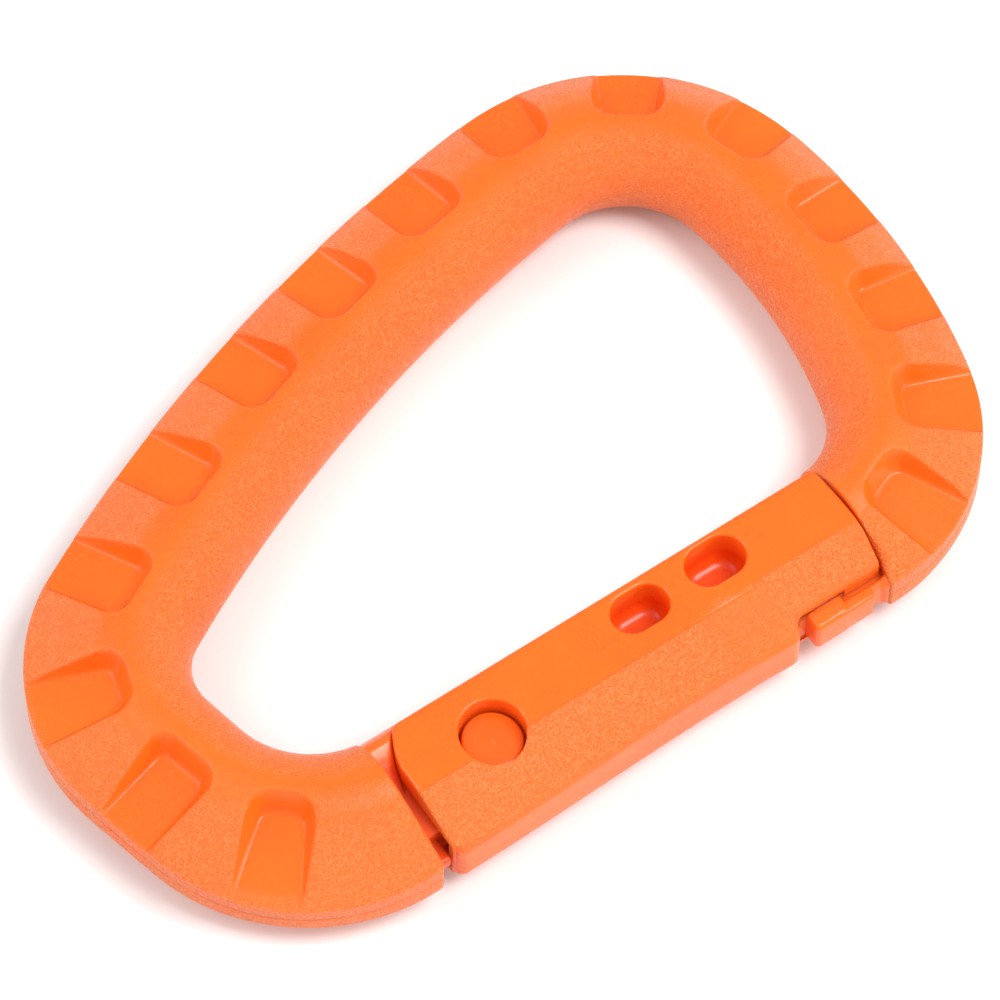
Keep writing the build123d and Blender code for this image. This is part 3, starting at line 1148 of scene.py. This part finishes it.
    def surface(self) -> tuple[Array, Array]:
        """Grid of the gate before its holes, rows along X and columns right round.

        Returns:
            Points (rows, columns, 3) and the grain at each.
        """
        rows = self.x_lines()
        lines = self.y_lines()
        r, e = self.inner_round, self.rim
        turn = np.radians(self.side_turns)
        side = [(self.inner_y, 0.0), (self.inner_y, 2.0)]
        side += [(self.inner_y - r + r * math.cos(t), self.half - r + r * math.sin(t)) for t in turn]
        wall = self.wall_line(rows[:, None])
        slope = math.radians(90 - self.facet_slope)
        tangent = wall + e - e * math.cos(slope)
        shares = np.linspace(0, 1, 16)[1:]
        outer = self.low_line + (tangent - self.low_line) * shares
        straight = np.tile(np.concatenate([[p[0] for p in side], lines]), (len(rows), 1))
        bend = np.linspace(slope, 0, 7)[1:]
        rest = wall + e - e * np.cos(bend)
        y = np.concatenate([straight, outer, rest, wall, wall], 1)
        x = np.repeat(rows[:, None], y.shape[1], 1)
        arc = -np.sqrt(np.maximum(self.tail_round ** 2 - np.clip(y, -1.39, None) ** 2, 1.0))
        tail = np.maximum(arc, self.tail_line)
        nose = np.sqrt(self.nose_radius ** 2 - y ** 2)
        x = x + fade(rows, -3.9, -8.2)[:, None] * (tail + self.tail_radius)
        x = x + fade(rows, 31.2, self.nose_radius)[:, None] * (nose - self.nose_radius)
        z = self.cheek_height(x, y)
        z[:, : len(side)] = [p[1] for p in side]
        t = len(side) + len(lines) + len(shares)
        foot = z[:, t - 1 : t] - e * math.sin(slope)
        z[:, t : t + len(bend)] = foot + e * np.sin(bend)
        z[:, -2] = z[:, t + len(bend) - 1] * 0.5
        z[:, -1] = 0.0
        grain = self.grain_at(x, y)
        grain[:, t:] = grain[:, t - 1 : t] * np.linspace(0.6, 0, grain.shape[1] - t)
        grid = both_faces(np.stack([x, y, z], -1))
        grain = np.concatenate([grain, grain[:, -2:0:-1]], 1)
        grid = ease_end(grid, rows - rows[0], ALONG_X, self.end_round)
        return ease_end(grid, rows[-1] - rows, ALONG_X, self.end_round), grain

    def sink(
        self, recess: Recess, ring: list[int], points: Array, up: float, first: int
    ) -> tuple[Array, list[list[int]]]:
        """Rings of a recess from its block's border down over the rim, wall and foot to the floor.

        A ring at offset d stands at core + (r + d) n from the recess's core line. On the cheek d
        goes from the border to the rim's tangent; on the rim it is e(1 - sin t) with a drop of
        e(1 - cos t); the foot curves in the same way, and the floor closes on the middle.

        Args:
            recess: the recess.
            ring: vertex indices round the block's border.
            points: all vertices of the grid.
            up: 1 on the upper cheek, -1 on the lower.
            first: index that the first new vertex takes.

        Returns:
            New points, and faces that use them and the border.
        """
        border = points[ring]
        core, away = recess.outline(border[:, :2])
        r = recess.width / 2
        reach = np.linalg.norm(border[:, :2] - core, axis=-1)
        turn = np.linspace(0, math.pi / 2, 7)
        loops = []
        for share in (0.72, 0.48, 0.28, 0.12, 0.0):
            out = r + recess.rim + (reach - r - recess.rim) * share
            xy = core + out[:, None] * away
            loops.append(np.c_[xy, self.cheek_height(xy[:, 0], xy[:, 1])])
        for t in turn[1:]:
            xy = core + (r + recess.rim * (1 - math.sin(t))) * away
            fall = recess.rim * (1 - math.cos(t))
            loops.append(np.c_[xy, self.cheek_height(xy[:, 0], xy[:, 1]) - fall])
        low = recess.floor + recess.foot
        high = loops[-1][:, 2]
        for share in (0.5, 1.0):
            loops.append(np.c_[core + r * away, high + (low - high) * share])
        for t in turn[1:]:
            xy = core + (r - recess.foot * (1 - math.cos(t))) * away
            loops.append(np.c_[xy, np.full(len(xy), low - recess.foot * math.sin(t))])
        hub = np.array([recess.x, recess.y])
        inner = hub + 0.5 * (loops[-1][:, :2] - hub)
        loops.append(np.c_[inner, np.full(len(inner), recess.floor)])
        made = np.concatenate(loops + [[[*hub, recess.floor]]]) * [1, 1, up]
        count = len(ring)
        edges = enumerate(zip(ring, ring[1:] + ring[:1]))
        faces = [[a, b, first + (k + 1) % count, first + k] for k, (a, b) in edges]
        faces += loop_faces(len(loops), count, first).tolist()
        last = first + (len(loops) - 1) * count
        faces += fan_faces([last + k for k in range(count)], first + len(made) - 1)
        if up < 0:
            faces = [face[::-1] for face in faces]
        return made, faces

    def block_border(self, recess: Recess, cols: int, under: bool) -> tuple[list[int], set[int]]:
        """Indices round a recess's block in the grid, and the quads inside it.

        Args:
            recess: the recess.
            cols: vertices in each row.
            under: whether the lower cheek is meant.

        Returns:
            Vertex indices in order round the block, and the numbers of the quads to leave out.
        """
        rows = self.x_lines()
        lines = self.y_lines()
        x0, x1, y0, y1 = recess.block
        i0, i1 = (int(np.argmin(np.abs(rows - v))) for v in (x0, x1))
        side = 2 + len(self.side_turns)
        j1, j0 = (side + int(np.argmin(np.abs(lines - v))) for v in (y1, y0))

        def column(j: int) -> int:
            """The column itself, or its mirror image underneath."""
            return (cols - j) % cols if under else j

        walk = [(i, j1) for i in range(i0, i1)] + [(i1, j) for j in range(j1, j0)]
        walk += [(i, j0) for i in range(i1, i0, -1)] + [(i0, j) for j in range(j0, j1, -1)]
        ring = [i * cols + column(j) for i, j in walk]
        quads = {i * cols + min(column(j), column(j + 1)) for i in range(i0, i1) for j in range(j1, j0)}
        return ring, quads

    def blank(self) -> Any:
        """Gate with its pin hole and recesses sunk, before the channels are cut."""
        grid, grain = self.surface()
        rows, cols = grid.shape[:2]
        points = grid.reshape(-1, 3)
        grain = grain.ravel()
        quads = loop_faces(rows, cols).tolist()
        dropped: set[int] = set()
        extra: list[list[int]] = []
        for recess in self.recesses:
            for under in (False, True):
                ring, inside = self.block_border(recess, cols, under)
                dropped |= inside
                made, faces = self.sink(recess, ring, points, -1.0 if under else 1.0, len(points))
                extra += [face[::-1] for face in faces]
                points = np.concatenate([points, made])
                # Recess walls are painted darker towards their floors: painted shade.
                level = np.abs(made[:, 2])
                depth = fade(level, self.shade_start_level, self.full_shade_level)
                skin = self.grain_at(made[:, 0], made[:, 1]) - self.painted_shade_mark * depth
                skin = np.where(level > self.shade_start_level, skin, np.minimum(skin, 0.0))
                grain = np.concatenate([grain, skin])
        faces = [quad for k, quad in enumerate(quads) if k not in dropped] + extra
        faces += cap_faces(rows, cols)
        return make_piece("gate_body", at_pivot(points), faces, grain)

    def cutters(self) -> list[tuple[Array, float]]:
        """Plans and half heights of the hinge slot, the spring's channel and the nose channel."""
        return [
            (box_outline(-14.0, 6.6, -5.5, 8.0), self.slot_half),
            (box_outline(5.6, 11.0, -5.4, -3.8), 1.8),
            (box_outline(10.0, 15.6, -4.475, -4.025), 1.8),
            (sector_outline(27.65, 31.95, -9.0, 2.9), self.slot_half),
            (sector_outline(31.6, 38.0, -9.0, 2.9), self.rib_half),
        ]

    def build(self, plastic: Any) -> list[Any]:
        """Cut the channels out of the blank, dress the gate and let it stand for its node.

        Args:
            plastic: its finish.

        Returns:
            The gate's body.
        """
        body = self.blank()
        tools = []
        for k, (outline, half) in enumerate(self.cutters()):
            points, faces = slab(outline, -half, half, 0.05)
            # Cut faces keep this mark: painted shade on the slot and channel walls.
            mark = np.full(len(points), -self.painted_shade_mark)
            tool = make_piece(f"tool_{k}", at_pivot(points), faces, mark)
            cut = body.modifiers.new(tool.name, "BOOLEAN")
            cut.operation = "DIFFERENCE"
            cut.solver = "EXACT"
            cut.object = tool
            tools.append(tool)
        bpy.context.view_layer.update()
        graph = bpy.context.evaluated_depsgraph_get()
        finished = bpy.data.meshes.new_from_object(body.evaluated_get(graph))
        body.modifiers.clear()
        body.data = finished
        finished.set_sharp_from_angle(angle=SHARP_ANGLE)
        for tool in tools:
            bpy.data.objects.remove(tool)
        dress(body, plastic)
        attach(body, "gate")
        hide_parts("gate")
        return [body]


@dataclass
class LeafSpring:
    """Steel strip gripped in the gate, its free end resting on the hinge tongue."""

    thick: float = 0.35
    width: float = 3.0
    start: float = -2.0
    end: float = 15.3
    line: float = -4.25
    edge: float = 0.06
    spans: int = 40

    def build(self, steel: Any) -> list[Any]:
        """Build the strip as a thin slab in many lengths.

        Args:
            steel: its finish.

        Returns:
            The strip.
        """
        along = np.linspace(self.start, self.end, self.spans)
        low = np.c_[along, np.full(self.spans, self.line - self.thick / 2)]
        high = np.c_[along[::-1], np.full(self.spans, self.line + self.thick / 2)]
        points, faces = slab(np.concatenate([low, high]), -self.width / 2, self.width / 2, self.edge)
        strip = dress(make_piece("gate_leaf_spring", at_pivot(points), faces), steel)
        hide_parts("gate_spring")
        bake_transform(strip)
        return [strip]


# ---------------------------------------------------------------- studio


@dataclass
class Studio:
    """Pale floor, soft boxes and a long lens looking down at the part."""

    target: tuple[float, float, float] = (0.001565, -0.002473, 0.0049)
    turn: float = 34.285
    elevation: float = 62.0
    distance: float = 0.600
    lens: float = 260.57
    floor_half: float = 3.0
    sky: float = 0.60
    soft_boxes: tuple[tuple[str, tuple[float, float, float], float, float], ...] = (
        ("left_box", (-0.62, -0.06, 0.68), 0.60, 2.6),
        ("facet_box", (0.41, -0.13, 0.86), 0.40, 6.4),
        ("right_strip", (0.92, -0.20, 0.30), 0.17, 2.5),
        ("left_strip", (-0.92, -0.20, 0.26), 0.20, 1.3),
    )

    def floor(self) -> Any:
        """A plain square floor, level with the part's underside."""
        h = self.floor_half
        mesh = bpy.data.meshes.new("floor")
        mesh.from_pydata([(-h, -h, 0), (h, -h, 0), (h, h, 0), (-h, h, 0)], [], [(0, 1, 2, 3)])
        floor = link("floor", mesh)
        paper = Shading("white_paper")
        tone = paper.noise(60.0, 2.0)
        paper.feed("Base Color", paper.blend(tone, (0.90, 0.90, 0.90, 1.0), (0.93, 0.93, 0.93, 1.0)))
        paper.feed("Roughness", 0.85)
        paper.feed("Specular IOR Level", 0.1)
        mesh.materials.append(paper.material)
        return floor

    def light(self, name: str, place: tuple[float, float, float], size: float, power: float) -> None:
        """A square soft box aimed at the part.

        Args:
            name: its name.
            place: where it hangs, in metres, X to the picture's right and Y away from the camera.
            size: side of the square.
            power: watts.
        """
        lamp = bpy.data.lights.new(name, "AREA")
        lamp.size = size
        lamp.energy = power
        soft_box = link(name, lamp)
        a = math.radians(self.turn)
        right = Vector((math.cos(a), -math.sin(a), 0))
        away = Vector((math.sin(a), math.cos(a), 0))
        soft_box.location = place[0] * right + place[1] * away + Vector((0, 0, place[2]))
        aim = Vector(self.target) - soft_box.location
        soft_box.rotation_euler = aim.to_track_quat("-Z", "Y").to_euler()

    def camera(self) -> None:
        """The long lens, square to the part at the given turn and elevation."""
        a = math.radians(self.turn)
        e = math.radians(self.elevation)
        level = math.cos(e)
        away = Vector((-level * math.sin(a), -level * math.cos(a), math.sin(e)))
        lens = bpy.data.cameras.new("camera")
        lens.lens = self.lens
        lens.clip_start = 0.01
        camera = link("camera", lens)
        right = Vector((math.cos(a), -math.sin(a), 0))
        up = away.cross(right)
        place = Vector(self.target) + self.distance * away
        camera.matrix_world = Matrix((
            (right.x, up.x, away.x, place.x),
            (right.y, up.y, away.y, place.y),
            (right.z, up.z, away.z, place.z),
            (0, 0, 0, 1),
        ))
        bpy.context.scene.camera = camera

    def build(self) -> None:
        """Set up the floor, the lights, the sky and the camera."""
        self.floor()
        for soft_box in self.soft_boxes:
            self.light(*soft_box)
        scene = bpy.context.scene
        world = bpy.data.worlds.new("white_room")
        world.use_nodes = True
        sky = world.node_tree.nodes["Background"]
        sky.inputs["Color"].default_value = (1.0, 1.0, 1.0, 1.0)
        sky.inputs["Strength"].default_value = self.sky
        scene.world = world
        scene.view_settings.view_transform = "Standard"
        scene.view_settings.look = "None"
        self.camera()


# ---------------------------------------------------------------- assembly


def corners(bounds: Any) -> list[list[float]]:
    """The two corners of a box as plain lists."""
    return [[float(c) for c in corner] for corner in bounds]


def main() -> None:
    """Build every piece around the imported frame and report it."""
    logging.basicConfig(level=logging.INFO, format="%(message)s")
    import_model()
    ring_plastic = MouldedPlastic("orange_ring_plastic").make()
    gate_plastic = MouldedPlastic("orange_gate_plastic").make()
    steel = SpringSteel().make()
    pieces = Ring().build(ring_plastic)
    pieces += HingeAndCatch().build(ring_plastic)
    pieces += Gate().build(gate_plastic)
    pieces += LeafSpring().build(steel)
    for piece in pieces:
        log.info("%s: %d faces", piece.name, len(piece.data.polygons))
    Studio().build()


if __name__ == "__main__":
    main()
